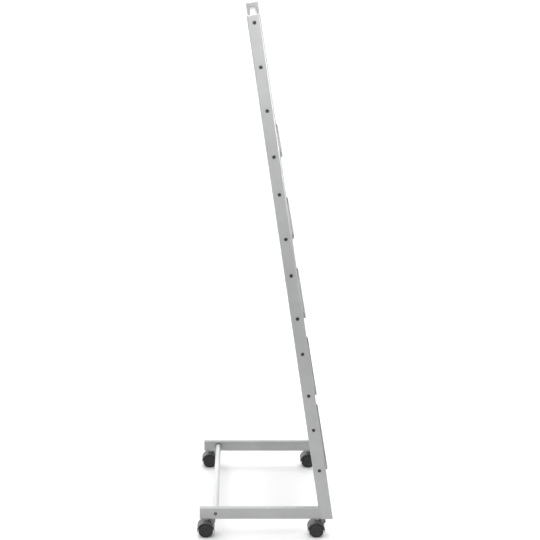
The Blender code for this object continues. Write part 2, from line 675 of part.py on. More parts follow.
for side_name, side_sign in SIDES.items():
    upright(side_name, side_sign)
    base_rail(side_name, side_sign)
    side_plugs(side_name, side_sign)
    side_fasteners(side_name, side_sign)
    for end_name, axle_y in CASTER_Y.items():
        corner = f"{end_name}_{side_name}"
        caster(f"{corner}_caster", side_sign * TUBE_CENTRE, axle_y)
        caster_socket(f"{corner}_caster_socket", side_sign * TUBE_CENTRE, axle_y)

top_crossbar()
rear_crossbar()
header_panel()
for index, height_along in enumerate(LOWER_SCREWS):
    tray(index + 1, height_along)
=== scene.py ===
# Looks of the mobile leaning display rack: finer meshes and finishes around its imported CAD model.
#
# Units are metres, +Z is up and the rack's front faces -Y. Places come from the CAD nodes' boxes.
# Much of the rack leans back by LEAN: its pieces are drawn upright, with y to the rear and z up the
# tubes, and are then turned by the matrix LEANING.

import json
import math

import bmesh
import bpy
from mathutils import Matrix, Vector

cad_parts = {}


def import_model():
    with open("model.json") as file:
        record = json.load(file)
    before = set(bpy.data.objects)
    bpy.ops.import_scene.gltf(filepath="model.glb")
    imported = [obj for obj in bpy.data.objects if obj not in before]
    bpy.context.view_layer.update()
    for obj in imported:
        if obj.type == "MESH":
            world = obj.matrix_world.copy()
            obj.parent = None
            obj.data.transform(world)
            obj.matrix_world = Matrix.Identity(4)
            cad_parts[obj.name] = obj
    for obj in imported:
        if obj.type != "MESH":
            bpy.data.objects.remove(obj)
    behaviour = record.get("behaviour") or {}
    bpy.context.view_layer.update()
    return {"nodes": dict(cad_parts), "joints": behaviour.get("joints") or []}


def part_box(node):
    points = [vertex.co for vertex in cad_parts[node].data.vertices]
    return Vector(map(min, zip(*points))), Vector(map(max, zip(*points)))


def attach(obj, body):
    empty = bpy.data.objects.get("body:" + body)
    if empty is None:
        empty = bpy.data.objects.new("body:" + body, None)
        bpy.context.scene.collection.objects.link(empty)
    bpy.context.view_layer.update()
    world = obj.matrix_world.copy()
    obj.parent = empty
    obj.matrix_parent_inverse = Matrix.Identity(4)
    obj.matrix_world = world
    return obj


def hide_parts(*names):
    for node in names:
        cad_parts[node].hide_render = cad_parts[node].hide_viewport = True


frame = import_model()

# ------------------------------------------------------------------------ driving dimensions

LEAN = math.radians(8.75)
SHEET = 0.0012                # folded steel sheet
TUBE_WALL = 0.0015
UPRIGHT_CORNER = 0.0060
RAIL_CORNER = 0.0040
CROSSBAR_CORNER = 0.0020
UPRIGHT_DEPTH = 0.043
RAIL_HEIGHT = 0.040
WELD_LEG = 0.0060             # how far the weld runs up each tube
BEND = 0.0018                 # radius at the middle of the folded sheet
HEM = 0.0080                  # depth of the folded-over edges
HEM_FOLD = SHEET + 0.0001     # from one layer's middle to the other's
SOFT_EDGE = 0.0003            # rounding of cut edges

HEAD_RADIUS = 0.0058          # button-head screws with a hexagon socket
HEAD_HEIGHT = 0.0030
SHANK_RADIUS = 0.0025
SOCKET_SIZE = 0.0030          # across its flats
NUT_SIZE = 0.0080
NUT_HEIGHT = 0.0040

WHEEL_RADIUS = 0.025
WHEEL_WIDTH = 0.016
WHEEL_INNER = 0.0067          # from the caster's middle plane to a wheel's inner face
GUARD_RADIUS = 0.0295
GUARD_INNER = 0.0273
GUARD_HALF = 0.0230
GUARD_TIP = -0.004            # the guard's ends are this high above the axle
SLOT_HALF = 0.0140            # the brake pedal's slot
PEDAL_HALF = 0.0137
PEDAL_ANGLE = math.radians(21)
CLEARANCE = 0.0003            # between parts that move or are pushed together

ROUND = 64                    # segments of a turned piece
ROUND_BAR = 1.0               # a hexagon so big that a ring cut from it has no flats
CORNERS = [(end, side) for end in ("front", "rear") for side in ("left", "right")]
SIDES = {"left": -1, "right": 1}

# -------------------------------------------------------------------- places read off the frame


def middle(node):
    low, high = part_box(node)
    return (low + high) / 2


RAIL_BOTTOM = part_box("left_upright")[0].z
TOE_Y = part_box("left_upright")[0].y
RAIL_END_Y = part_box("left_base_rail")[1].y
HALF_WIDTH = -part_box("left_upright")[0].x
INNER_HALF = -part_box("left_upright")[1].x
TUBE_WIDTH = HALF_WIDTH - INNER_HALF
TUBE_CENTRE = (HALF_WIDTH + INNER_HALF) / 2
FOOT_Y = TOE_Y + UPRIGHT_DEPTH / 2 / math.cos(LEAN)
LEANING = Matrix.Translation((0, FOOT_Y, RAIL_BOTTOM)) @ Matrix.Rotation(-LEAN, 4, "X")


def leaning_box(node):
    """Lowest and highest corner of a CAD node, measured square to the leaning uprights."""
    back = LEANING.inverted()
    points = [back @ v.co for v in frame["nodes"][node].data.vertices]
    low = Vector([min(p[i] for p in points) for i in range(3)])
    high = Vector([max(p[i] for p in points) for i in range(3)])
    return low, high


UPRIGHT_TOP = leaning_box("left_upright")[1].z
PLUG_BOX = leaning_box("left_upright_plug")
HEADER_LOW, HEADER_HIGH = leaning_box("header_panel")
CROSSBAR_LOW, CROSSBAR_HIGH = leaning_box("top_crossbar")

# ------------------------------------------------------------------------- outlines in a plane


def rounded(points, radii, step=math.radians(15), closed=True):
    """A path with its corners turned into arcs. radii is one radius, or one for each corner."""
    points = [Vector(p) for p in points]
    count = len(points)
    if not isinstance(radii, (list, tuple)):
        radii = [radii] * count
    path = []
    for i, (point, radius) in enumerate(zip(points, radii)):
        if radius == 0 or (not closed and i in (0, count - 1)):
            path.append(point)
            continue
        before = (points[i - 1] - point).normalized()
        after = (points[(i + 1) % count] - point).normalized()
        opening = before.angle(after)
        reach = radius / math.tan(opening / 2)
        centre = point + (before + after).normalized() * radius / math.sin(opening / 2)
        start = point + before * reach - centre
        turn = math.pi - opening
        if before.x * after.y - before.y * after.x > 0:
            turn = -turn
        steps = max(2, math.ceil(abs(turn) / step))
        for k in range(steps + 1):
            angle = turn * k / steps
            c, s = math.cos(angle), math.sin(angle)
            path.append(centre + Vector((start.x * c - start.y * s, start.x * s + start.y * c)))
    return path


def rounded_rectangle(width, height, radius, step=math.radians(11.25)):
    w, h = width / 2, height / 2
    return rounded([(w, -h), (w, h), (-w, h), (-w, -h)], radius, step)


def shifted(path, distance, closed=True):
    """A path moved to its left by a distance, so an anticlockwise outline shrinks."""
    count = len(path)
    moved = []
    for i, point in enumerate(path):
        before = point - path[i - 1] if closed or i > 0 else path[1] - path[0]
        after = path[(i + 1) % count] - point if closed or i < count - 1 else before
        a = Vector((-before.y, before.x)).normalized()
        b = Vector((-after.y, after.x)).normalized()
        both = (a + b).normalized()
        moved.append(point + both * distance / max(0.3, both.dot(a)))
    return moved


def thickened(path, thickness):
    """The closed outline of a sheet whose middle follows an open path."""
    left = shifted(path, thickness / 2, closed=False)
    right = shifted(path, -thickness / 2, closed=False)
    return right + left[::-1]


def anticlockwise(path):
    area = sum(path[i - 1].x * p.y - p.x * path[i - 1].y for i, p in enumerate(path))
    return path if area > 0 else path[::-1]


def hexagon_ring(size, limit, height, count=48):
    """A ring of a hexagonal bar whose corners are turned down to a radius."""
    ring = []
    for k in range(count):
        angle = math.tau * k / count
        off_flat = (angle % (math.pi / 3)) - math.pi / 6
        radius = min(size / 2 / math.cos(off_flat), limit)
        ring.append(Vector((radius * math.cos(angle), radius * math.sin(angle), height)))
    return ring


# ---------------------------------------------------------------------------- mesh builders

SOFT_STEPS = ((1.0, 0.0), (0.29, 0.29), (0.0, 1.0))   # inward share and lengthwise share


def loft(rings, wrap=False, caps=True, sheet=False):
    """A skin over rings of equally many points. wrap joins the last ring to the first. The caps
    of a thickened sheet are rungs between its two sides, since such an outline is far from
    convex."""
    count = len(rings[0])
    points = [tuple(p) for ring in rings for p in ring]
    faces = []
    for i in range(len(rings) if wrap else len(rings) - 1):
        a = i * count
        b = (i + 1) % len(rings) * count
        for j in range(count):
            k = (j + 1) % count
            faces.append((a + j, a + k, b + k, b + j))
    last = (len(rings) - 1) * count
    if sheet:
        for j in range(count // 2 - 1):
            rung = (j, j + 1, count - 2 - j, count - 1 - j)
            faces.append(rung[::-1])
            faces.append(tuple(last + k for k in rung))
    elif caps and not wrap:
        faces.append(tuple(range(count))[::-1])
        faces.append(tuple(range(last, last + count)))
    mesh = bpy.data.meshes.new("loft")
    mesh.from_pydata(points, [], faces)
    return tidy(mesh)


def tidy(mesh):
    """Welds coincident points and turns the faces outwards."""
    work = bmesh.new()
    work.from_mesh(mesh)
    bmesh.ops.remove_doubles(work, verts=work.verts, dist=2e-7)
    bmesh.ops.dissolve_degenerate(work, edges=work.edges, dist=1e-7)
    bmesh.ops.recalc_face_normals(work, faces=work.faces)
    if work.calc_volume(signed=True) < 0:
        bmesh.ops.reverse_faces(work, faces=work.faces)
    work.to_mesh(mesh)
    work.free()
    return mesh


def joined(*meshes):
    """One mesh of several closed shells."""
    work = bmesh.new()
    for mesh in meshes:
        work.from_mesh(mesh)
    made = bpy.data.meshes.new("joined")
    work.to_mesh(made)
    work.free()
    return made


def moved(mesh, matrix):
    copy = mesh.copy()
    copy.transform(matrix)
    if matrix.determinant() < 0:
        copy.flip_normals()
    return copy


def prism(outline, low, high, soft=SOFT_EDGE, sheet=False):
    """A flat outline, as (y, z) points, given a width along X with softened rims. sheet says
    that the outline is a thickened sheet's."""
    outline = anticlockwise(outline)
    rings = []
    for inward, along in SOFT_STEPS:
        ring = shifted(outline, soft * inward)
        rings.append([Vector((low + soft * along, p.x, p.y)) for p in ring])
    for inward, along in SOFT_STEPS[::-1]:
        ring = shifted(outline, soft * inward)
        rings.append([Vector((high - soft * along, p.x, p.y)) for p in ring])
    return loft(rings, sheet=sheet)


def turned(profile, ring=False, segments=ROUND):
    """A solid of revolution about Z. The profile holds (radius, height) points."""
    rings = []
    for radius, height in profile:
        ring_points = []
        for k in range(segments):
            angle = math.tau * k / segments
            ring_points.append(Vector((radius * math.cos(angle), radius * math.sin(angle), height)))
        rings.append(ring_points)
    return loft(rings, wrap=ring, caps=False)


def hollow(outer, inner, low_spot, high_spot, soft=SOFT_EDGE):
    """A tube. low_spot and high_spot place a point of its section at a depth in from that end."""
    rings = []
    for inward, along in SOFT_STEPS:
        rings.append([low_spot(p, soft * along) for p in shifted(outer, soft * inward)])
    for inward, along in SOFT_STEPS[::-1]:
        rings.append([high_spot(p, soft * along) for p in shifted(outer, soft * inward)])
    rings.append([high_spot(p, 0) for p in inner])
    rings.append([low_spot(p, 0) for p in inner])
    return loft(rings, wrap=True)


def piece(name, mesh, look, body="frame", stands_for=(), place=None, smooth_below=38):
    """One visible piece, with its finish, its CAD body and the CAD nodes that it stands for."""
    mesh.name = name
    mesh.materials.clear()
    mesh.materials.append(look)
    mesh.shade_smooth()
    mesh.set_sharp_from_angle(angle=math.radians(smooth_below))
    made = bpy.data.objects.new(name, mesh)
    bpy.context.scene.collection.objects.link(made)
    made.matrix_world = place or Matrix.Identity(4)
    flat = made.modifiers.new("flat_faces", "WEIGHTED_NORMAL")
    flat.keep_sharp = True
    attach(made, body)
    if stands_for:
        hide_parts(*stands_for)
    return made


ALONG_X = Matrix.Rotation(math.pi / 2, 4, "Y")     # turns +Z to +X
MIRROR_X = Matrix.Scale(-1, 4, Vector((1, 0, 0)))


def outwards(side):
    """Turns a piece drawn along +Z so that it points out of the left or the right side."""
    return Matrix.Rotation(side * math.pi / 2, 4, "Y")

# -------------------------------------------------------------------------------- finishes


class Finish:
    """A material under construction: one Principled shader, fed by noise in object space."""

    def __init__(self, name, roughness, metallic=0.0, **sockets):
        self.material = bpy.data.materials.new(name)
        self.material.use_nodes = True
        self.nodes = self.material.node_tree.nodes
        self.links = self.material.node_tree.links
        self.shader = self.nodes["Principled BSDF"]
        self.shader.inputs["Roughness"].default_value = roughness
        self.shader.inputs["Metallic"].default_value = metallic
        for socket, value in sockets.items():
            self.shader.inputs[socket.replace("_", " ")].default_value = value
        self.place = self.nodes.new("ShaderNodeTexCoord").outputs["Object"]
        self.normal = None

    def noise(self, scale, detail=2.0, rough=0.5, stretch=None):
        place = self.place
        if stretch:
            mapping = self.nodes.new("ShaderNodeMapping")
            mapping.inputs["Scale"].default_value = stretch
            self.links.new(place, mapping.inputs["Vector"])
            place = mapping.outputs["Vector"]
        made = self.nodes.new("ShaderNodeTexNoise")
        made.inputs["Scale"].default_value = scale
        made.inputs["Detail"].default_value = detail
        made.inputs["Roughness"].default_value = rough
        self.links.new(place, made.inputs["Vector"])
        return made.outputs["Fac"]

    def cells(self, scale):
        made = self.nodes.new("ShaderNodeTexVoronoi")
        made.inputs["Scale"].default_value = scale
        self.links.new(self.place, made.inputs["Vector"])
        return made.outputs["Color"]

    def ramp(self, source, low, high, start=0.35, end=0.65):
        """Colours, or greys for a number, spread between two levels of a pattern."""
        made = self.nodes.new("ShaderNodeValToRGB")
        low = low if isinstance(low, tuple) else (low, low, low)
        high = high if isinstance(high, tuple) else (high, high, high)
        made.color_ramp.elements[0].position = start
        made.color_ramp.elements[0].color = (*low, 1)
        made.color_ramp.elements[1].position = end
        made.color_ramp.elements[1].color = (*high, 1)
        self.links.new(source, made.inputs["Fac"])
        return made.outputs["Color"]

    def multiply(self, a, b, share=1.0):
        made = self.nodes.new("ShaderNodeMix")
        made.data_type = "RGBA"
        made.blend_type = "MULTIPLY"
        made.inputs["Factor"].default_value = share
        self.links.new(a, made.inputs["A"])
        self.links.new(b, made.inputs["B"])
        return made.outputs["Result"]

    def colour(self, source):
        self.links.new(source, self.shader.inputs["Base Color"])

    def roughness(self, source):
        self.links.new(source, self.shader.inputs["Roughness"])

    def bump(self, source, height, strength=1.0):
        """Relief of a pattern, height metres deep, on top of any earlier relief."""
        made = self.nodes.new("ShaderNodeBump")
        made.inputs["Strength"].default_value = strength
        made.inputs["Distance"].default_value = height
        self.links.new(source, made.inputs["Height"])
        if self.normal:
            self.links.new(self.normal, made.inputs["Normal"])
        self.normal = made.outputs["Normal"]
        self.links.new(self.normal, self.shader.inputs["Normal"])


def silver_paint(name="silver_paint_look", shade=1.0):
    """Satin silver-grey powder coat: fine flake, orange peel and faint clouding."""
    made = Finish(name, 0.42, 0.25, Coat_Weight=0.7, Coat_Roughness=0.14)
    # shade scales the coat's colour. Above 1 it paints a lit copy of the same coat, a painted
    # highlight.
    low = tuple(shade * level for level in (0.345, 0.348, 0.352))
    high = tuple(shade * level for level in (0.375, 0.378, 0.382))
    clouds = made.ramp(made.noise(9, 3), low, high)
    flake = made.ramp(made.noise(3800, 1), 0.90, 1.0, 0.3, 0.6)
    made.colour(made.multiply(clouds, flake))
    made.roughness(made.ramp(made.noise(60, 4), 0.38, 0.46))
    made.bump(made.noise(650, 2), 0.00006)
    made.bump(made.noise(3800, 1), 0.00001)
    return made.material


def white_enamel():
    """Smooth white coated sheet with a faint waviness and dry-wipe haze."""
    made = Finish("white_enamel_look", 0.16, 0.0, Coat_Weight=0.5, Coat_Roughness=0.06)
    made.colour(made.ramp(made.noise(5, 3), (0.60, 0.607, 0.61), (0.64, 0.645, 0.645)))
    made.roughness(made.ramp(made.noise(14, 5, stretch=(3.0, 1.0, 0.6)), 0.12, 0.24))
    made.bump(made.noise(90, 2), 0.00004)
    return made.material


def black_plastic():
    """Satin black moulding with a fine spark-eroded grain."""
    made = Finish("black_plastic_look", 0.42, 0.0, Specular_IOR_Level=0.55)
    made.colour(made.ramp(made.noise(140, 4), (0.066, 0.066, 0.067), (0.086, 0.086, 0.087)))
    made.roughness(made.ramp(made.noise(420, 3), 0.34, 0.50))
    made.bump(made.noise(2600, 3), 0.00005)
    return made.material


def black_tread():
    """Hard black nylon with light scuffing."""
    made = Finish("black_tread_look", 0.5, 0.0)
    base = made.ramp(made.noise(160, 5), (0.010, 0.010, 0.0105), (0.016, 0.016, 0.0165))
    scuffs = made.ramp(made.noise(900, 6, 0.7), 1.0, 1.5, 0.60, 0.74)
    made.colour(made.multiply(base, scuffs))
    made.roughness(made.ramp(made.noise(500, 4), 0.40, 0.62))
    made.bump(made.noise(1500, 4), 0.00005)
    return made.material


def grey_plastic():
    """Light grey moulded plastic."""
    made = Finish("grey_plastic_look", 0.5, 0.0)
    made.colour(made.ramp(made.noise(200, 3), (0.50, 0.505, 0.51), (0.55, 0.555, 0.56)))
    made.roughness(made.ramp(made.noise(300, 3), 0.42, 0.58))
    made.bump(made.noise(1900, 3), 0.00004)
    return made.material


def black_steel(name="black_steel_look", low=0.030, high=0.080):
    """Blackened steel screws, a little worn to the metal."""
    made = Finish(name, 0.38, 0.75)
    made.colour(made.ramp(made.noise(700, 5), low, high))
    made.roughness(made.ramp(made.noise(900, 4), 0.30, 0.48))
    made.bump(made.noise(3000, 2), 0.00002)
    return made.material


def zinc_steel():
    """Bright zinc plating with its faint crystalline patches."""
    made = Finish("zinc_steel_look", 0.34, 1.0)
    patches = made.ramp(made.cells(600), (0.56, 0.57, 0.59), (0.68, 0.69, 0.70), 0.2, 0.8)
    made.colour(patches)
    made.roughness(made.ramp(made.noise(800, 4), 0.26, 0.42))
    made.bump(made.noise(2400, 3), 0.00002)
    return made.material


SILVER = silver_paint()
WHITE = white_enamel()
BLACK = black_plastic()
TREAD = black_tread()
GREY = grey_plastic()
SCREW = black_steel()
# The round crossbar has the same silver coat, painted 1.55 times lighter: a painted highlight for
# the light its round top catches from above.
SILVER_WITH_PAINTED_HIGHLIGHT = silver_paint("silver_with_painted_highlight_look", 1.55)      # the round crossbar
DULL_SCREW = black_steel("dull_steel_look", 0.08, 0.15)   # the screws into it
ZINC = zinc_steel()

# ------------------------------------------------------------------------------- side frames

RAIL_CENTRE_Z = RAIL_BOTTOM + RAIL_HEIGHT / 2


def leaning_plane_y(offset, z):
    """World y, at the height z, of a plane parallel to the uprights, that far behind them."""
    along = (z - RAIL_BOTTOM + offset * math.sin(LEAN)) / math.cos(LEAN)
    return FOOT_Y + offset * math.cos(LEAN) + along * math.sin(LEAN)


def upright(label, side):
    x = side * TUBE_CENTRE
    wall = 2 * TUBE_WALL
    outer = rounded_rectangle(TUBE_WIDTH, UPRIGHT_DEPTH, UPRIGHT_CORNER)
    inner = rounded_rectangle(TUBE_WIDTH - wall, UPRIGHT_DEPTH - wall, UPRIGHT_CORNER - TUBE_WALL)

    def foot(p, depth):
        return Vector((x + p.x, p.y, p.y * math.tan(LEAN) + depth))

    def top(p, depth):
        return Vector((x + p.x, p.y, UPRIGHT_TOP - depth))

    mesh = hollow(outer, inner, foot, top)
    piece(f"{label}_upright_tube", mesh, SILVER,
          stands_for=[f"{label}_upright"], place=LEANING)


def base_rail(label, side):
    """The rail runs on to where the upright's flat side begins, as if welded and ground flush."""
    x = side * TUBE_CENTRE
    wall = 2 * TUBE_WALL
    outer = rounded_rectangle(TUBE_WIDTH, RAIL_HEIGHT, RAIL_CORNER)
    inner = rounded_rectangle(TUBE_WIDTH - wall, RAIL_HEIGHT - wall, RAIL_CORNER - TUBE_WALL)
    join = UPRIGHT_DEPTH / 2 - UPRIGHT_CORNER

    def front(p, depth):
        z = RAIL_CENTRE_Z + p.y
        return Vector((x + p.x, leaning_plane_y(join, z), z))

    def rear(p, depth):
        return Vector((x + p.x, RAIL_END_Y - depth, RAIL_CENTRE_Z + p.y))

    mesh = hollow(outer, inner, front, rear)
    piece(f"{label}_base_rail_tube", mesh, SILVER,
          stands_for=[f"{label}_base_rail"])


def weld(label, side):
    """The hollow fillet in the corner between a rail's top and its upright, faintly rippled."""
    half = TUBE_WIDTH / 2
    sink = 0.0006                     # into the tubes, and short of their flat sides
    end = half - sink
    opening = math.pi / 2 - LEAN
    up = Vector((0, math.sin(LEAN), math.cos(LEAN)))
    back = Vector((0, 1, 0))
    slices = 41
    rings = []
    for i in range(slices):
        x = end * (2 * i / (slices - 1) - 1)
        drops = []
        for corner_radius in (RAIL_CORNER, UPRIGHT_CORNER):
            past = max(0.0, abs(x) - (half - corner_radius))
            drops.append(corner_radius - math.sqrt(corner_radius ** 2 - past ** 2))
        ripple = 1 + 0.035 * math.sin(x / 0.0011)
        leg = WELD_LEG * ripple * (1 - 0.6 * abs(x / end) ** 6)
        top_z = RAIL_BOTTOM + RAIL_HEIGHT - drops[0]
        corner = Vector((side * TUBE_CENTRE + x,
                         leaning_plane_y(UPRIGHT_DEPTH / 2 - drops[1], top_z), top_z))
        radius = leg * math.tan(opening / 2)
        centre = corner + (up + back).normalized() * radius / math.sin(opening / 2)
        on_upright = corner + up * leg
        first = on_upright - centre
        sunk = -(up + back).normalized() * sink
        ring = [corner + sunk, on_upright + sunk]
        steps = 8
        for k in range(steps + 1):
            angle = (math.pi - opening) * k / steps
            ring.append(centre + Matrix.Rotation(angle, 3, "X") @ first)
        ring.append(corner + back * leg + sunk)
        rings.append(ring)
    piece(f"{label}_frame_weld", loft(rings), SILVER)


def plug(name, depth, corner, cap, insert, node, place):
    """An end plug: a cap with a soft rim, and a ribbed body that hides in the tube."""
    outline = rounded_rectangle(TUBE_WIDTH, depth, corner)
    rim = 0.0008
    levels = []
    ribs = 5
    for i in range(ribs):
        low = -insert + insert * i / ribs
        levels += [(0.0026, low), (0.0018, low + 0.0006), (0.0018, low + 0.0012),
                   (0.0026, low + 0.0020)]
    levels += [(0.0026, 0), (0.0003, 0), (0, 0.0003)]
    for degrees in (0, 30, 60, 90):
        angle = math.radians(degrees)
        levels.append((rim * (1 - math.cos(angle)), cap - rim * (1 - math.sin(angle))))
    levels.append((0.0030, cap))
    rings = [[Vector((p.x, p.y, z)) for p in shifted(outline, inward)] for inward, z in levels]
    piece(name, loft(rings), GREY, stands_for=[node], place=place)


def side_plugs(label, side):
    low, high = PLUG_BOX
    cap = high.z - UPRIGHT_TOP
    top = LEANING @ Matrix.Translation((side * TUBE_CENTRE, 0, UPRIGHT_TOP))
    plug(f"{label}_upright_cap", UPRIGHT_DEPTH, UPRIGHT_CORNER, cap, UPRIGHT_TOP - low.z,
         f"{label}_upright_plug", top)
    rear = Matrix.Translation((side * TUBE_CENTRE, RAIL_END_Y, RAIL_CENTRE_Z))
    rear = rear @ Matrix.Rotation(-math.pi / 2, 4, "X")
    plug(f"{label}_rail_cap", RAIL_HEIGHT, RAIL_CORNER, cap, UPRIGHT_TOP - low.z,
         f"{label}_rail_plug", rear)


# ----------------------------------------------------------------------------- cross members


def cross_tube(name, outer, inner, half, centre, node, look=SILVER, place=None):
    def left(p, depth):
        return Vector((-half + depth, centre.y + p.x, centre.z + p.y))

    def right(p, depth):
        return Vector((half - depth, centre.y + p.x, centre.z + p.y))

    piece(name, hollow(outer, inner, left, right), look,
          stands_for=[node], place=place)


def circle(radius, count=ROUND):
    return [Vector((radius * math.cos(math.tau * k / count),
                    radius * math.sin(math.tau * k / count))) for k in range(count)]


def crossbars():
    size = CROSSBAR_HIGH.z - CROSSBAR_LOW.z
    inside = size - 2 * TUBE_WALL
    cross_tube("top_crossbar_tube", rounded_rectangle(size, size, CROSSBAR_CORNER),
               rounded_rectangle(inside, inside, CROSSBAR_CORNER - TUBE_WALL),
               CROSSBAR_HIGH.x, (CROSSBAR_LOW + CROSSBAR_HIGH) / 2, "top_crossbar",
               place=LEANING)
    low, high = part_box("rear_crossbar")
    radius = (high.z - low.z) / 2
    cross_tube("rear_crossbar_tube", circle(radius), circle(radius - TUBE_WALL),
               high.x, middle("rear_crossbar"), "rear_crossbar", SILVER_WITH_PAINTED_HIGHLIGHT)
    for label, side in SIDES.items():
        node = f"{label}_rear_crossbar_ring"
        low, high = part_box(node)
        half = (high.x - low.x) / 2
        outside = (high.z - low.z) / 2
        profile = [(radius, half), (outside - 0.0009, half), (outside - 0.0003, half - 0.0003),
                   (outside, half - 0.0009), (outside, 0.0003), (outside - 0.0004, 0),
                   (outside, -0.0003), (outside, 0.0009 - half), (outside - 0.0003, 0.0003 - half),
                   (outside - 0.0009, -half), (radius, -half)]
        piece(f"{label}_rear_crossbar_collar", turned(profile, ring=True), BLACK,
              stands_for=[node],
              place=Matrix.Translation(middle(node)) @ ALONG_X)


def header():
    """A folded white sheet: the face, two side flanges that stop short of the crossbar, and a
    hem along its lower edge."""
    half = HEADER_HIGH.x - SHEET / 2
    face = HEADER_LOW.y + SHEET / 2
    depth = HEADER_HIGH.y
    flange_top = 1.650
    path = rounded([(-half, depth), (-half, face), (half, face), (half, depth)], BEND, closed=False)
    outline = anticlockwise(thickened(path, SHEET))
    inside = face + SHEET / 2
    shallow = [Vector((p.x, min(p.y, inside))) for p in outline]
    rings = []
    for inward, along in SOFT_STEPS:
        ring = shifted(outline, SOFT_EDGE * inward)
        rings.append([(p.x, p.y, HEADER_LOW.z + SOFT_EDGE * along) for p in ring])
    rings.append([(p.x, p.y, flange_top) for p in outline])
    rings.append([(p.x, p.y, flange_top) for p in shallow])
    for inward, along in SOFT_STEPS[::-1]:
        ring = [(p.x, p.y + inward * SOFT_EDGE * (1 if p.y < face else -1)) for p in shallow]
        rings.append([(x, y, HEADER_HIGH.z - SOFT_EDGE * along) for x, y in ring])
    hem_low = HEADER_LOW.z + SHEET / 2
    fold = face + HEM_FOLD
    path = rounded([(face + SHEET / 4, hem_low + HEM), (face + SHEET / 4, hem_low),
                    (fold + SHEET / 4, hem_low), (fold + SHEET / 4, hem_low + HEM)],
                   HEM_FOLD / 2, closed=False)
    inner_half = half - SHEET / 2 - BEND
    hem = prism(thickened(path[len(path) // 2:], SHEET), -inner_half, inner_half, sheet=True)
    piece("header_sheet", joined(loft([[Vector(p) for p in ring] for ring in rings]), hem),
          WHITE, stands_for=["header_panel"], place=LEANING)


# --------------------------------------------------------------------------------- fasteners


def screw(length):
    """A flanged button-head screw along +Z, its head's underside at the origin. The head has a
    hexagon socket and the shank's end a rolled thread."""
    flange = 0.0007
    neck = SHANK_RADIUS
    corners = 0.0040                  # beyond the socket's corners, so they stay sharp
    dome = math.radians(78)
    dome_top = 0.0019                 # radius where the dome meets the socket's rim
    dome_steps = 5
    rings = []

    def circle_ring(radius, height):
        rings.append(hexagon_ring(ROUND_BAR, radius, height))

    thread = 0.0100
    pitch = 0.0008
    root = SHANK_RADIUS - 0.00042
    circle_ring(0.0, -length)
    circle_ring(root - 0.0004, -length)
    turns = round(thread / pitch)
    for i in range(turns):
        low = -length + 0.0004 + i * pitch
        circle_ring(root, low)
        circle_ring(neck, low + 0.35 * pitch)
        circle_ring(neck, low + 0.55 * pitch)
        circle_ring(root, low + 0.9 * pitch)
    circle_ring(neck, -length + thread + 0.0010)
    circle_ring(neck, 0)
    circle_ring(HEAD_RADIUS - 0.0002, 0)
    circle_ring(HEAD_RADIUS, 0.0002)
    circle_ring(HEAD_RADIUS, flange - 0.0002)
    circle_ring(HEAD_RADIUS - 0.0003, flange)
    circle_ring(HEAD_RADIUS - 0.0010, flange + 0.0001)
    dome_foot = flange + 0.0002
    for i in range(dome_steps + 1):
        angle = dome * i / dome_steps
        radius = dome_top + (HEAD_RADIUS - 0.0014 - dome_top) * math.cos(angle)
        rise = (HEAD_HEIGHT - dome_foot) * math.sin(angle) / math.sin(dome)
        circle_ring(radius, dome_foot + rise)
    circle_ring(0.0021, HEAD_HEIGHT)
    circle_ring(0.0018, HEAD_HEIGHT - 0.0001)
    rings.append(hexagon_ring(SOCKET_SIZE, corners, HEAD_HEIGHT - 0.0004))
    rings.append(hexagon_ring(SOCKET_SIZE, corners, HEAD_HEIGHT - 0.0019))
    circle_ring(0.0, HEAD_HEIGHT - 0.0024)
    return loft(rings, caps=False)


def nut():
    """A hexagon weld nut along +Z, on the sheet at its underside."""
    corner = NUT_SIZE / 2 / math.cos(math.pi / 6)
    bore = SHANK_RADIUS + 0.0001
    rings = [hexagon_ring(NUT_SIZE, corner - 0.0003, 0),
             hexagon_ring(NUT_SIZE, corner, 0.0004),
             hexagon_ring(NUT_SIZE, corner, NUT_HEIGHT - 0.0005),
             hexagon_ring(NUT_SIZE, NUT_SIZE / 2, NUT_HEIGHT),
             hexagon_ring(ROUND_BAR, bore + 0.0005, NUT_HEIGHT),
             hexagon_ring(ROUND_BAR, bore, NUT_HEIGHT - 0.0005),
             hexagon_ring(ROUND_BAR, bore, 0)]
    return loft(rings, wrap=True)


SIDE_SCREW = screw(0.0285)
REAR_SCREW = screw(0.0360)
NUT = nut()


def side_screw(name, label, side, height, node):
    place = LEANING @ Matrix.Translation((side * HALF_WIDTH, 0, height)) @ outwards(side)
    piece(name, SIDE_SCREW, SCREW, stands_for=[node], place=place)


def weld_nut(name, side, height):
    inner = INNER_HALF - CLEARANCE - SHEET
    place = LEANING @ Matrix.Translation((side * inner, 0, height)) @ outwards(-side)
    piece(name, NUT, ZINC, place=place)


def fasteners(label, side):
    for word in ("header", "top_crossbar"):
        node = f"{label}_{word}_screw"
        low, high = leaning_box(node)
        height = (low.z + high.z) / 2
        side_screw(f"{label}_{word}_button_screw", label, side, height, node)
        if word == "header":
            weld_nut(f"{label}_{word}_nut", side, height)
    node = f"{label}_rear_crossbar_screw"
    spot = middle(node)
    place = Matrix.Translation((side * HALF_WIDTH, spot.y, spot.z)) @ outwards(side)
    piece(f"{label}_rear_crossbar_button_screw", REAR_SCREW, DULL_SCREW,
          stands_for=[node], place=place)


# ------------------------------------------------------------------------------------- trays

TRAY_FLOOR_FRONT = 0.0275     # ahead of the uprights' centre line
TRAY_LIP_HEIGHT = 0.0130
TRAY_EAR_FRONT = 0.0100
TRAY_EAR_RISE = 0.0300
TRAY_FLOOR_DROP = 0.0070      # below the lower screws
TRAY_TOP_RISE = 0.0150        # above the upper screws


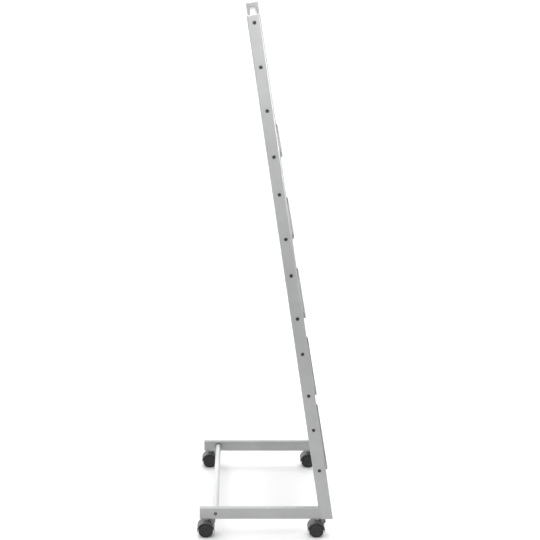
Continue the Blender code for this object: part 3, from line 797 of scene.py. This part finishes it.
def tray(number):
    """A folded strip, hemmed at the back's top and at the lip, between two welded end plates."""
    name = f"tray_{number}"
    low, high = leaning_box(name)
    half = high.x - SHEET
    lip_top = low.z + TRAY_LIP_HEIGHT
    floor_front = Vector((-TRAY_FLOOR_FRONT, low.z))
    lip = Vector((low.y, lip_top)) - floor_front
    rise = lip.normalized()
    inward = Vector((rise.y, -rise.x))
    thin = SHEET / 2
    lip_foot = floor_front + inward * thin + rise * (thin - inward.y * thin) / rise.y
    lip_head = floor_front + lip + inward * thin - rise * thin
    back = high.y - thin
    top = high.z - thin
    path = [(back - HEM_FOLD, top - HEM), (back - HEM_FOLD, top), (back, top),
            (back, low.z + thin), tuple(lip_foot), tuple(lip_head),
            tuple(lip_head + inward * HEM_FOLD), tuple(lip_head + inward * HEM_FOLD - rise * HEM)]
    turn = HEM_FOLD / 2
    strip = rounded(path, [0, turn, turn, BEND, BEND, turn, turn, 0], closed=False)
    plate = [(high.y, low.z), (high.y, high.z), (-TRAY_EAR_FRONT, high.z),
             (-TRAY_EAR_FRONT, lip_top + TRAY_EAR_RISE), (low.y, lip_top),
             tuple(floor_front)]
    outline = rounded(plate, [0.0018, 0.0030, 0.0050, 0.0120, 0.0016, 0.0018])
    into_plate = half + SHEET / 4
    shells = [prism(thickened(strip, SHEET), -into_plate, into_plate, sheet=True)]
    for side in SIDES.values():
        ends = sorted((side * half, side * high.x))
        shells.append(prism(outline, ends[0], ends[1]))
    piece(f"{name}_folded_sheet", joined(*shells), SILVER,
          stands_for=[name], place=LEANING)
    heights = {"lower": low.z + TRAY_FLOOR_DROP, "upper": high.z - TRAY_TOP_RISE}
    for word, height in heights.items():
        for label, side in SIDES.items():
            side_screw(f"{label}_{name}_{word}_screw", label, side, height,
                       f"{label}_tray_screws")
            weld_nut(f"{label}_{name}_{word}_nut", side, height)


# ----------------------------------------------------------------------------------- casters
# A caster's pieces are drawn about the middle of its axle, front to -Y.

PIVOT_RADIUS = 0.030
PIVOT_ANGLE = math.radians(130)        # from the rear, so 50 degrees above the front
SLOT_SPREAD = math.radians(10.3)
PEG_RADIUS = 0.0017
EAR_RADIUS = 0.0045
EAR_WIDTH = 0.0032


def around(radius, angle):
    return Vector((radius * math.cos(angle), radius * math.sin(angle)))


def guard_shell():
    """The arched guard over both wheels, with a raised rim along each edge and a slot for the
    brake pedal. It is a grid of points round the axle, outside and inside, less the slot."""
    crown = 0.0290
    half_profile = [(0.0, crown + 0.0001), (0.0070, crown + 0.0001), (SLOT_HALF, crown),
                    (0.0196, crown), (0.0203, GUARD_RADIUS), (0.0218, GUARD_RADIUS),
                    (0.0226, GUARD_RADIUS - 0.0002), (GUARD_HALF, GUARD_RADIUS - 0.0007)]
    outer = [(-x, r) for x, r in half_profile[:0:-1]] + half_profile
    inner = [(x, GUARD_INNER + (0.0004 if abs(x) == GUARD_HALF else 0)) for x, _ in outer]
    tip = math.asin(GUARD_TIP / GUARD_RADIUS)
    start, end = PIVOT_ANGLE - SLOT_SPREAD, PIVOT_ANGLE + SLOT_SPREAD
    angles = []
    for low, high, steps in ((tip, start, 34), (start, end, 6), (end, math.pi - tip, 18)):
        angles += [low + (high - low) * k / steps for k in range(steps)]
    angles.append(math.pi - tip)
    blunt = 0.0005
    points = []
    for angle in angles:
        to_tip = min(angle - tip, math.pi - tip - angle) * GUARD_RADIUS
        pinch = blunt if to_tip < 0.0001 else 0.0
        for profile, sign in ((outer, -1), (inner, 1)):
            for x, radius in profile:
                yz = around(radius + sign * pinch, angle)
                points.append((x, yz.x, yz.y))
    count = len(outer)
    faces = []

    def corner(ring, inside, i):
        return ring * 2 * count + inside * count + i

    def cut(ring, i):
        mid = (angles[ring] + angles[ring + 1]) / 2
        return start < mid < end and abs(outer[i][0] + outer[i + 1][0]) / 2 < SLOT_HALF

    for ring in range(len(angles) - 1):
        for i in range(count - 1):
            if cut(ring, i):
                continue
            for inside in (0, 1):
                faces.append([corner(ring, inside, i), corner(ring, inside, i + 1),
                              corner(ring + 1, inside, i + 1), corner(ring + 1, inside, i)])
        edges = [0, count - 1]
        if start < (angles[ring] + angles[ring + 1]) / 2 < end:
            edges += [i for i in range(count) if abs(abs(outer[i][0]) - SLOT_HALF) < 1e-6]
        for i in edges:
            faces.append([corner(ring, 0, i), corner(ring + 1, 0, i),
                          corner(ring + 1, 1, i), corner(ring, 1, i)])
    for ring, angle in enumerate(angles):
        ends = ring in (0, len(angles) - 1)
        slot_end = min(abs(angle - start), abs(angle - end)) < 1e-6
        for i in range(count - 1):
            inside_slot = abs(outer[i][0] + outer[i + 1][0]) / 2 < SLOT_HALF
            if ends or (slot_end and inside_slot):
                faces.append([corner(ring, 0, i), corner(ring, 0, i + 1),
                              corner(ring, 1, i + 1), corner(ring, 1, i)])
    mesh = bpy.data.meshes.new("guard")
    mesh.from_pydata(points, [], faces)
    return tidy(mesh)


def guard(corner, axle, stem):
    """The moulded housing: guard, middle web, stem boss and the pedal's ears."""
    web_radius = 0.0281
    web_half = 0.0060
    slot_floor = WHEEL_RADIUS + 0.0004
    tip = math.asin(GUARD_TIP / web_radius)
    steps = 40
    web_outline = []
    for k in range(steps + 1):
        angle = tip + (math.pi - 2 * tip) * k / steps
        inside_slot = abs(angle - PIVOT_ANGLE) < SLOT_SPREAD
        web_outline.append(around(slot_floor if inside_slot else web_radius, angle))
    web = prism(web_outline, -web_half, web_half, 0.0005)
    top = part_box(f"{corner}_caster_housing")[1].z - axle.z
    bore = 0.0042
    boss = turned([(bore, top), (0.0082, top), (0.0088, top - 0.0003), (0.0090, top - 0.0009),
                   (0.0091, 0.0315), (0.0096, 0.0301), (0.0108, 0.0291), (0.0128, 0.0283),
                   (0.0132, 0.0262), (bore, 0.0262)], ring=True)
    boss.transform(Matrix.Translation((0, stem.y - axle.y, 0)))
    pivot = around(PIVOT_RADIUS, PIVOT_ANGLE)
    out = around(1, PIVOT_ANGLE)
    across = Vector((-out.y, out.x))
    ear = []
    for degrees in range(-90, 91, 15):
        angle = math.radians(degrees)
        ear.append(pivot + (out * math.cos(angle) + across * math.sin(angle)) * EAR_RADIUS)
    base = around(GUARD_RADIUS - 0.0016, PIVOT_ANGLE)
    ear += [base + across * 0.0078, base - out * 0.0006, base - across * 0.0078]
    shells = [guard_shell(), web, boss]
    near = PEDAL_HALF + CLEARANCE
    for side in SIDES.values():
        ends = sorted((side * near, side * (near + EAR_WIDTH)))
        shells.append(prism(ear, ends[0], ends[1], 0.0004))
    piece(f"{corner}_caster_guard", joined(*shells), BLACK,
          body=f"{corner}_housing", stands_for=[f"{corner}_caster_housing"],
          place=Matrix.Translation(axle), smooth_below=32)


def pedal(corner, pivot):
    """The brake pedal: a barrel on pegs, a cam nose, and a ribbed tab with rounded corners."""
    along = Vector((-math.cos(PEDAL_ANGLE), math.sin(PEDAL_ANGLE)))
    square = Vector((math.sin(PEDAL_ANGLE), math.cos(PEDAL_ANGLE)))
    barrel_radius = 0.0035
    nose_degrees = 232
    barrel = []
    for degrees in [*range(60, 220, 15), nose_degrees, 254, 269, 284, 297, 310]:
        radius = 0.0045 if degrees == nose_degrees else barrel_radius
        angle = math.radians(degrees)
        barrel.append(Vector((radius * math.cos(angle), radius * math.sin(angle))))
    tab = [(0.0028, -0.0016), (0.0125, -0.0012), (0.0140, 0.0006), (0.0142, 0.0034),
           (0.0128, 0.0036), (0.0114, 0.0019), (0.0030, 0.0019)]
    tab = rounded(tab, [0, 0.0016, 0.0010, 0.0004, 0.0004, 0.0020, 0])
    outline = tab + barrel
    root = 0.0040
    tip = 0.0142
    corner_radius = 0.0050

    def outline_at(x):
        past = max(0.0, abs(x) - (PEDAL_HALF - corner_radius))
        pull = corner_radius - math.sqrt(max(0.0, corner_radius ** 2 - past ** 2))
        points = []
        for p in outline:
            reach = max(0.0, (p.x - root) / (tip - root))
            points.append(along * (p.x - pull * reach) + square * p.y)
        return anticlockwise(points)

    soft = 0.0004
    slices = [(PEDAL_HALF - soft * a, soft * i) for i, a in SOFT_STEPS]
    slices += [(PEDAL_HALF - corner_radius * k / 8, 0) for k in range(1, 9)]
    slices += [(-x, i) for x, i in slices[::-1]]
    rings = []
    for x, inward in slices:
        ring = shifted(outline_at(x), inward)
        rings.append([Vector((x, p.x, p.y)) for p in ring])
    shells = [loft(rings)]
    for reach in (0.0052, 0.0073, 0.0094):
        spot = along * reach + square * 0.0017
        rib = [spot + around(0.00055, math.tau * k / 12) for k in range(12)]
        rib_half = PEDAL_HALF - 0.0030
        shells.append(prism(rib, -rib_half, rib_half, 0.0002))
    end = PEDAL_HALF + CLEARANCE + EAR_WIDTH + 0.0001
    peg = turned([(0, end), (PEG_RADIUS - 0.0003, end), (PEG_RADIUS, end - 0.0003),
                  (PEG_RADIUS, 0.0003 - end), (PEG_RADIUS - 0.0003, -end), (0, -end)], segments=32)
    shells.append(moved(peg, ALONG_X))
    piece(f"{corner}_caster_pedal", joined(*shells), BLACK,
          body=f"{corner}_brake", stands_for=[f"{corner}_caster_brake_lever"],
          place=Matrix.Translation(pivot), smooth_below=32)


def wheel_mesh():
    """A wheel along +Z, its inner face at the origin: a dished hub cover with ribs, a groove,
    and a tread with rounded shoulders. A blind bore takes the axle."""
    w = WHEEL_WIDTH
    r = WHEEL_RADIUS
    outer_shoulder = 0.0022
    inner_shoulder = 0.0018
    bore = 0.0033
    bore_depth = 0.0130
    dish = w - 0.0017
    profile = [(0, w - 0.0002), (0.0036, w - 0.0002), (0.0044, w - 0.0005), (0.0048, w - 0.0010),
               (0.0051, dish), (0.0144, dish), (0.0150, w - 0.0013), (0.0158, w - 0.0004),
               (0.0168, w), (0.0205, w), (0.0211, w - 0.0003), (0.0214, w - 0.0012),
               (0.0219, w - 0.0012), (0.0222, w - 0.0004), (0.0228, w - 0.0002)]
    for degrees in range(0, 91, 15):
        angle = math.radians(degrees)
        profile.append((r - outer_shoulder * (1 - math.sin(angle)),
                        w - 0.0002 - outer_shoulder * (1 - math.cos(angle))))
    for degrees in range(0, 91, 15):
        angle = math.radians(degrees)
        profile.append((r - inner_shoulder * (1 - math.cos(angle)),
                        inner_shoulder * (1 - math.sin(angle))))
    profile += [(0.0216, 0.0002), (0.0208, 0.0012), (0.0078, 0.0012), (0.0070, 0.0002),
                (bore + 0.0003, 0), (bore, 0.0003), (bore, bore_depth), (0, bore_depth)]
    shells = [turned(profile, segments=96)]
    rib = rounded([(0.0046, dish - 0.0003), (0.0152, dish - 0.0003), (0.0152, w - 0.0006),
                   (0.0046, w - 0.0004)], 0.0003)
    arm = prism(rib, -0.0009, 0.0009, 0.0003)
    arms = 5
    for k in range(arms):
        shells.append(moved(arm, Matrix.Rotation(math.tau * k / arms, 4, "Z")))
    return joined(*shells)


def stem_mesh(node, origin):
    """The stem about the underside of its rail: thread, hexagon collar with a washer, neck."""
    low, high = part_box(node)
    top = high.z - origin.z
    foot = low.z - origin.z
    r = 0.0039
    shaft = turned([(0, top), (r - 0.0004, top), (r, top - 0.0004), (r, foot + 0.0005),
                    (r - 0.0005, foot), (0, foot)], segments=48)
    collar_radius = 0.0080
    size = 2 * collar_radius * math.cos(math.pi / 6)
    rings = [hexagon_ring(size, r, -0.0029), hexagon_ring(size, size / 2, -0.0029),
             hexagon_ring(size, collar_radius, -0.0024), hexagon_ring(size, collar_radius, -0.0009),
             hexagon_ring(size, size / 2, -0.0006), hexagon_ring(size, r, -0.0006)]
    washer = turned([(r, -0.0001), (collar_radius - 0.0002, -0.0001), (collar_radius, -0.0003),
                     (collar_radius, -0.0005), (collar_radius - 0.0002, -0.0006), (r, -0.0006)],
                    ring=True)
    return joined(shaft, loft(rings, wrap=True), washer)


WHEEL = wheel_mesh()


def caster(end, label):
    corner = f"{end}_{label}"
    axle = middle(f"{corner}_caster_axle")
    node = f"{corner}_caster_stem"
    stem = middle(node)
    stem.z = RAIL_BOTTOM
    brake = next(j for j in frame["joints"] if j["name"] == f"{corner}_brake_press")
    piece(f"{corner}_caster_stem_and_collar", stem_mesh(node, stem), ZINC,
          stands_for=[node], place=Matrix.Translation(stem))
    guard(corner, axle, stem)
    pedal(corner, Vector(brake["pos_m"]))
    for name, side in SIDES.items():
        spot = axle + Vector((side * WHEEL_INNER, 0, 0))
        piece(f"{corner}_caster_{name}_tyre", WHEEL, TREAD,
              body=f"{corner}_{name}_wheel", stands_for=[f"{corner}_caster_{name}_wheel"],
              place=Matrix.Translation(spot) @ outwards(side))


# ------------------------------------------------------------------------------ the whole rack

for label, side in SIDES.items():
    upright(label, side)
    base_rail(label, side)
    weld(label, side)
    side_plugs(label, side)
    fasteners(label, side)
crossbars()
header()
for number in range(1, 6):
    tray(number)
for end, label in CORNERS:
    caster(end, label)

# Hidden inside the tubes and wheels, these CAD nodes stay as they are and only get a finish.
KEPT_FINISHES = {"_insert": GREY, "_socket": ZINC, "_axle": ZINC}
for node, shape in frame["nodes"].items():
    for ending, finish in KEPT_FINISHES.items():
        if node.endswith(ending):
            shape.data.materials.clear()
            shape.data.materials.append(finish)

# ----------------------------------------------------------------------- floor, light, camera


def floor():
    span = 60.0
    mesh = bpy.data.meshes.new("floor")
    mesh.from_pydata([(-span, -span, 0), (span, -span, 0), (span, span, 0), (-span, span, 0)],
                     [], [(0, 1, 2, 3)])
    finish = Finish("floor_look", 0.7)
    finish.colour(finish.ramp(finish.noise(0.8, 2), (0.89, 0.89, 0.89), (0.91, 0.91, 0.91)))
    mesh.materials.append(finish.material)
    made = bpy.data.objects.new("floor", mesh)
    bpy.context.scene.collection.objects.link(made)


WORLD_LEVEL = 0.50            # strength before the two directions below are added
# Axis, where the change starts and ends along it, and what is added before and after.
WORLD_SLOPES = (("X", -0.2, 1.0, 0.0, 1.3), ("Y", -0.75, 0.15, -0.50, 0.0))
BACKDROP_RADIUS = 55.0
BACKDROP_HEIGHT = 50.0


def backdrop():
    """A plain white wall far off. Only the camera sees it, so the soft light passes through."""
    mesh = turned([(BACKDROP_RADIUS, 0.0), (BACKDROP_RADIUS, BACKDROP_HEIGHT)])
    finish = Finish("backdrop_look", 1.0, Emission_Color=(1, 1, 1, 1), Emission_Strength=1.0)
    finish.shader.inputs["Base Color"].default_value = (0, 0, 0, 1)
    mesh.materials.append(finish.material)
    made = bpy.data.objects.new("backdrop", mesh)
    made.visible_diffuse = False
    made.visible_glossy = False
    made.visible_transmission = False
    made.visible_shadow = False
    bpy.context.scene.collection.objects.link(made)


def world():
    """Soft light from all round: brightest from behind the rack as the camera sees it, where a
    lit backdrop would be, and dimmest from the rack's front."""
    made = bpy.data.worlds.new("studio")
    made.use_nodes = True
    nodes = made.node_tree.nodes
    links = made.node_tree.links
    way = nodes.new("ShaderNodeTexCoord").outputs["Generated"]
    split = nodes.new("ShaderNodeSeparateXYZ")
    links.new(way, split.inputs[0])
    level = None
    for axis, start, end, low, high in WORLD_SLOPES:
        made_range = nodes.new("ShaderNodeMapRange")
        made_range.interpolation_type = "SMOOTHSTEP"
        for socket, value in (("From Min", start), ("From Max", end), ("To Min", low),
                              ("To Max", high)):
            made_range.inputs[socket].default_value = value
        links.new(split.outputs[axis], made_range.inputs["Value"])
        total = nodes.new("ShaderNodeMath")
        total.operation = "ADD"
        total.inputs[1].default_value = WORLD_LEVEL
        links.new(made_range.outputs["Result"], total.inputs[0])
        if level:
            links.new(level, total.inputs[1])
        level = total.outputs[0]
    nodes["Background"].inputs["Color"].default_value = (1, 1, 1, 1)
    links.new(level, nodes["Background"].inputs["Strength"])
    bpy.context.scene.world = made


def light(name, kind, power, at, target, **settings):
    data = bpy.data.lights.new(name, kind)
    data.energy = power
    for key, value in settings.items():
        setattr(data, key, value)
    made = bpy.data.objects.new(name, data)
    made.location = at
    made.rotation_euler = (Vector(target) - Vector(at)).to_track_quat("-Z", "Y").to_euler()
    made.visible_camera = False
    bpy.context.scene.collection.objects.link(made)
    return made


def camera():
    """Level with the left side, a little above the rack and tipped down towards its middle."""
    at = Vector((-4.414, 0.0895, 2.039))
    down = math.radians(15.007)
    to_front = math.radians(1.366)
    roll = math.radians(0.563)
    forward = Vector((math.cos(down) * math.cos(to_front), -math.cos(down) * math.sin(to_front),
                      -math.sin(down)))
    right = Vector((-math.sin(to_front), -math.cos(to_front), 0))
    up = right.cross(forward)
    tilted_right = right * math.cos(roll) + up * math.sin(roll)
    tilted_up = up * math.cos(roll) - right * math.sin(roll)
    data = bpy.data.cameras.new("camera")
    data.sensor_width = 36.0
    data.lens = 88.18
    data.clip_end = 200.0
    made = bpy.data.objects.new("camera", data)
    made.matrix_world = Matrix((tilted_right, tilted_up, -forward)).transposed().to_4x4()
    made.location = at
    bpy.context.scene.collection.objects.link(made)
    bpy.context.scene.camera = made


floor()
backdrop()
world()
light("overhead", "SUN", 2.3, (0, 0, 5), (0, 0, 0), angle=math.radians(70))
light("upper_side", "SPOT", 225, (-2.4, 0.4, 2.75), (-0.3, 0.03, 1.78), spot_blend=1.0,
      spot_size=math.radians(33), shadow_soft_size=0.35)
light("lower_side", "SPOT", 50, (-2.4, 0.3, 0.9), (-0.3, -0.1, 0.1), spot_blend=1.0,
      spot_size=math.radians(33), shadow_soft_size=0.35)
strip = light("front_strip", "AREA", 50, (-1.71, -1.69, 1.50), (-0.3, 0.0, 1.55),
              shape="RECTANGLE", size=1.5, size_y=1.0)
# The strip only draws the glint along the uprights' front corners.
strip.visible_diffuse = False
strip.light_linking.receiver_collection = bpy.data.collections.new("glinting")
for label in SIDES:
    tube = bpy.data.objects[f"{label}_upright_tube"]
    strip.light_linking.receiver_collection.objects.link(tube)
camera()
bpy.context.scene.view_settings.view_transform = "Standard"
